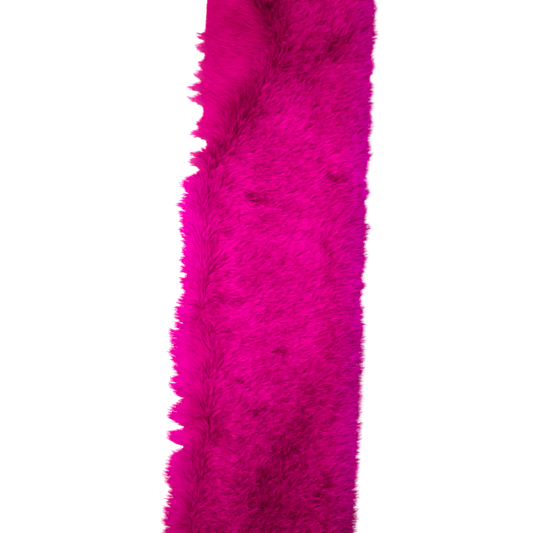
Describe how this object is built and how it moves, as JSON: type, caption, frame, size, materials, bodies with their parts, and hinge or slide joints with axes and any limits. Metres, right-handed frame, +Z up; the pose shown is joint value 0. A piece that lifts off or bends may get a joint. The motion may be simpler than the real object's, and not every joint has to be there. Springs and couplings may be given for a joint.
{
  "type": "fur boa",
  "caption": "Long flat boa of bright fuchsia faux fur, two knit-backed pile panels sewn edge to edge, limp along its length.",
  "frame": {"origin": "on the table under the middle of the strip laid out straight", "axes": "+Z up, out of the front fur; +Y along the strip; +X across it, towards the neat long edge"},
  "size_m": [0.15, 1.5, 0.033],
  "materials": {
    "front_fur": "matte",
    "back_fur": "matte",
    "thread": "matte"
  },
  "bodies": {
    "segment_01": {"front_fur_01": "front_fur", "back_fur_01": "back_fur", "left_seam_01": "thread", "right_seam_01": "thread", "near_end_seam": "thread"},
    "segment_02": {"front_fur_02": "front_fur", "back_fur_02": "back_fur", "left_seam_02": "thread", "right_seam_02": "thread"},
    "segment_03": {"front_fur_03": "front_fur", "back_fur_03": "back_fur", "left_seam_03": "thread", "right_seam_03": "thread"},
    "segment_04": {"front_fur_04": "front_fur", "back_fur_04": "back_fur", "left_seam_04": "thread", "right_seam_04": "thread"},
    "segment_05": {"front_fur_05": "front_fur", "back_fur_05": "back_fur", "left_seam_05": "thread", "right_seam_05": "thread"},
    "segment_06": {"front_fur_06": "front_fur", "back_fur_06": "back_fur", "left_seam_06": "thread", "right_seam_06": "thread"},
    "segment_07": {"front_fur_07": "front_fur", "back_fur_07": "back_fur", "left_seam_07": "thread", "right_seam_07": "thread"},
    "segment_08": {"front_fur_08": "front_fur", "back_fur_08": "back_fur", "left_seam_08": "thread", "right_seam_08": "thread"},
    "segment_09": {"front_fur_09": "front_fur", "back_fur_09": "back_fur", "left_seam_09": "thread", "right_seam_09": "thread"},
    "segment_10": {"front_fur_10": "front_fur", "back_fur_10": "back_fur", "left_seam_10": "thread", "right_seam_10": "thread"},
    "segment_11": {"front_fur_11": "front_fur", "back_fur_11": "back_fur", "left_seam_11": "thread", "right_seam_11": "thread"},
    "segment_12": {"front_fur_12": "front_fur", "back_fur_12": "back_fur", "left_seam_12": "thread", "right_seam_12": "thread"},
    "segment_13": {"front_fur_13": "front_fur", "back_fur_13": "back_fur", "left_seam_13": "thread", "right_seam_13": "thread", "far_end_seam": "thread"}
  },
  "joints": [
    {"name": "bend_01", "type": "hinge", "parent": "segment_02", "child": "segment_01", "pos_m": [0, -0.63462, 0.014], "axis": [-1, 0, 0], "range_deg": [-45, 45]},
    {"name": "bend_02", "type": "hinge", "parent": "segment_03", "child": "segment_02", "pos_m": [0, -0.51923, 0.014], "axis": [1, 0, 0], "range_deg": [-45, 45]},
    {"name": "bend_03", "type": "hinge", "parent": "segment_04", "child": "segment_03", "pos_m": [0, -0.40385, 0.014], "axis": [-1, 0, 0], "range_deg": [-45, 45]},
    {"name": "bend_04", "type": "hinge", "parent": "segment_05", "child": "segment_04", "pos_m": [0, -0.28846, 0.014], "axis": [1, 0, 0], "range_deg": [-45, 45]},
    {"name": "bend_05", "type": "hinge", "parent": "segment_06", "child": "segment_05", "pos_m": [0, -0.17308, 0.014], "axis": [-1, 0, 0], "range_deg": [-45, 45]},
    {"name": "bend_06", "type": "hinge", "parent": "segment_07", "child": "segment_06", "pos_m": [0, -0.05769, 0.014], "axis": [-1, 0, 0], "range_deg": [-45, 45]},
    {"name": "bend_07", "type": "hinge", "parent": "segment_07", "child": "segment_08", "pos_m": [0, 0.05769, 0.014], "axis": [1, 0, 0], "range_deg": [-45, 45]},
    {"name": "bend_08", "type": "hinge", "parent": "segment_08", "child": "segment_09", "pos_m": [0, 0.17308, 0.014], "axis": [1, 0, 0], "range_deg": [-45, 45]},
    {"name": "bend_09", "type": "hinge", "parent": "segment_09", "child": "segment_10", "pos_m": [0, 0.28846, 0.014], "axis": [-1, 0, 0], "range_deg": [-45, 45]},
    {"name": "bend_10", "type": "hinge", "parent": "segment_10", "child": "segment_11", "pos_m": [0, 0.40385, 0.014], "axis": [1, 0, 0], "range_deg": [-45, 45]},
    {"name": "bend_11", "type": "hinge", "parent": "segment_11", "child": "segment_12", "pos_m": [0, 0.51923, 0.014], "axis": [-1, 0, 0], "range_deg": [-45, 45]},
    {"name": "bend_12", "type": "hinge", "parent": "segment_12", "child": "segment_13", "pos_m": [0, 0.63462, 0.014], "axis": [1, 0, 0], "range_deg": [-45, 45]}
  ]
}
